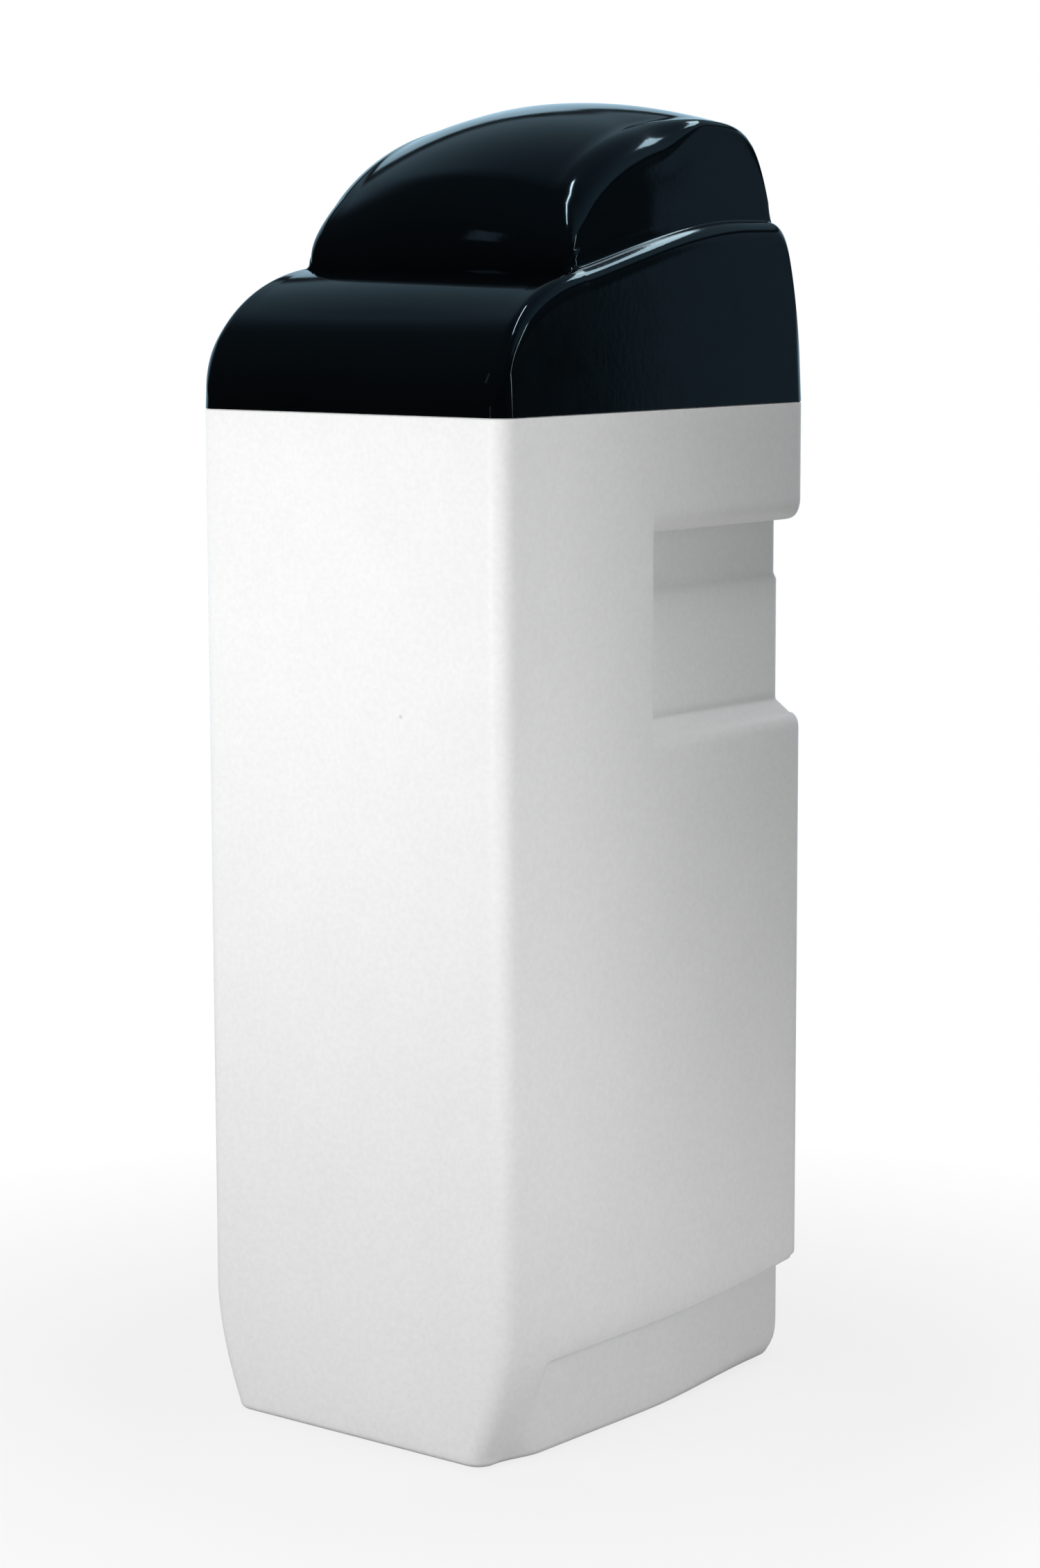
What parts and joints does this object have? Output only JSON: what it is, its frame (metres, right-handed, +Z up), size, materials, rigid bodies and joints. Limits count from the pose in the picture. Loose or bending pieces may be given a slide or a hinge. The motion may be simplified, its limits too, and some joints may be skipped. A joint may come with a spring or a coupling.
{
  "type": "cabinet water softener",
  "caption": "Cabinet water softener: moulded salt cabinet with grip pockets, lift-off two-tier cover, resin vessel with piston valve and geared drive, brine well with float.",
  "frame": {"origin": "floor level under the middle of the cabinet", "axes": "+X to the right seen from the front, -Y to the front, +Z up"},
  "size_m": [0.33, 0.421, 1.1155],
  "materials": {
    "white_shell": "faintly pebbled rotational moulding",
    "black_gloss": "high gloss",
    "black_plastic": "moulded",
    "grey_plastic": "moulded",
    "natural_plastic": "moulded, uncoloured",
    "vessel_shell": "wound glass fibre over a liner",
    "resin": "packed beads",
    "rubber": "moulded",
    "red_plastic": "moulded",
    "steel": "turned or pressed",
    "board": "lacquered board",
    "clear": "clear moulding"
  },
  "bodies": {
    "cabinet": {"cabinet": "white_shell", "salt_grid": "grey_plastic", "brine_well": "natural_plastic", "safety_valve": "grey_plastic", "pickup_tube": "natural_plastic", "air_check": "grey_plastic", "well_elbow": "black_plastic", "brine_line": "natural_plastic", "overflow_elbow": "black_plastic", "overflow_gasket": "rubber", "overflow_nut": "black_plastic", "vessel_foot": "black_plastic", "resin_vessel": "vessel_shell", "resin_bed": "resin", "lower_distributor": "grey_plastic", "riser_tube": "natural_plastic", "upper_distributor": "grey_plastic", "vessel_seal": "rubber", "riser_seal": "rubber", "valve_body": "black_plastic", "seal_spacers": "natural_plastic", "piston_seals": "rubber", "end_plug": "grey_plastic", "drive_bracket": "steel", "drive_motor": "steel", "bracket_screws": "steel", "control_cover": "grey_plastic", "circuit_board": "board", "tact_switches": "black_plastic", "display_lens": "clear", "power_socket": "black_plastic", "injector": "natural_plastic", "injector_cap": "black_plastic", "brine_elbow": "black_plastic", "drain_elbow": "black_plastic", "bypass_body": "black_plastic", "meter_cage": "natural_plastic", "inlet_tail": "steel", "outlet_tail": "steel"},
    "cover": {"cover": "black_gloss"},
    "well_cap": {"brine_well_cap": "black_plastic"},
    "float": {"float_rod": "steel", "brine_float": "red_plastic", "float_grommets": "rubber"},
    "ball": {"check_ball": "natural_plastic"},
    "piston": {"piston": "natural_plastic", "piston_rod": "steel"},
    "drive_gear": {"drive_gear": "natural_plastic"},
    "reduction_gear": {"reduction_gear": "natural_plastic"},
    "motor_pinion": {"motor_pinion": "steel"},
    "turbine": {"meter_turbine": "grey_plastic"},
    "inlet_lever": {"inlet_rotor": "red_plastic"},
    "outlet_lever": {"outlet_rotor": "red_plastic"},
    "button_1": {"button_1": "grey_plastic"},
    "button_2": {"button_2": "grey_plastic"},
    "button_3": {"button_3": "grey_plastic"},
    "button_4": {"button_4": "grey_plastic"}
  },
  "joints": [
    {"name": "cover_lift", "type": "slide", "parent": "cabinet", "child": "cover", "axis": [0, 0, 1], "range_m": [0, 0.33]},
    {"name": "well_cap_lift", "type": "slide", "parent": "cabinet", "child": "well_cap", "axis": [0, 0, 1], "range_m": [0, 0.04]},
    {"name": "float_rise", "type": "slide", "parent": "cabinet", "child": "float", "axis": [0, 0, 1], "range_m": [0, 0.012]},
    {"name": "ball_rise", "type": "slide", "parent": "cabinet", "child": "ball", "axis": [0, 0, 1], "range_m": [0, 0.019]},
    {"name": "drive_turn", "type": "hinge", "parent": "cabinet", "child": "drive_gear", "pos_m": [0, 0.0075, 0.957], "axis": [0, 1, 0], "range_deg": [0, 1080]},
    {"name": "reduction_turn", "type": "hinge", "parent": "cabinet", "child": "reduction_gear", "pos_m": [0.03524, 0.0025, 0.96983], "axis": [0, 1, 0], "range_deg": [-4320, 0]},
    {"name": "motor_turn", "type": "hinge", "parent": "cabinet", "child": "motor_pinion", "pos_m": [0.043, -0.0055, 0.9988], "axis": [0, 1, 0], "range_deg": [0, 12960]},
    {"name": "piston_stroke", "type": "slide", "parent": "cabinet", "child": "piston", "axis": [0, 1, 0], "range_m": [0, 0.024]},
    {"name": "turbine_spin", "type": "hinge", "parent": "cabinet", "child": "turbine", "pos_m": [0.042, 0.1335, 0.941], "axis": [0, 1, 0], "continuous": true},
    {"name": "inlet_lever_turn", "type": "hinge", "parent": "cabinet", "child": "inlet_lever", "pos_m": [-0.042, 0.1695, 0.97], "axis": [0, 0, 1], "range_deg": [0, 90]},
    {"name": "outlet_lever_turn", "type": "hinge", "parent": "cabinet", "child": "outlet_lever", "pos_m": [0.042, 0.1695, 0.97], "axis": [0, 0, -1], "range_deg": [0, 90]},
    {"name": "button_1_press", "type": "slide", "parent": "cabinet", "child": "button_1", "axis": [0, 1, 0], "range_m": [0, 0.0013], "stiffness_N_per_m": 500},
    {"name": "button_2_press", "type": "slide", "parent": "cabinet", "child": "button_2", "axis": [0, 1, 0], "range_m": [0, 0.0013], "stiffness_N_per_m": 500},
    {"name": "button_3_press", "type": "slide", "parent": "cabinet", "child": "button_3", "axis": [0, 1, 0], "range_m": [0, 0.0013], "stiffness_N_per_m": 500},
    {"name": "button_4_press", "type": "slide", "parent": "cabinet", "child": "button_4", "axis": [0, 1, 0], "range_m": [0, 0.0013], "stiffness_N_per_m": 500}
  ],
  "couplings": [
    {"joint": "drive_turn", "follows": "piston_stroke", "rad_per_m": 785.4},
    {"joint": "reduction_turn", "follows": "piston_stroke", "rad_per_m": -3141.6},
    {"joint": "motor_turn", "follows": "piston_stroke", "rad_per_m": 9424.8}
  ]
}
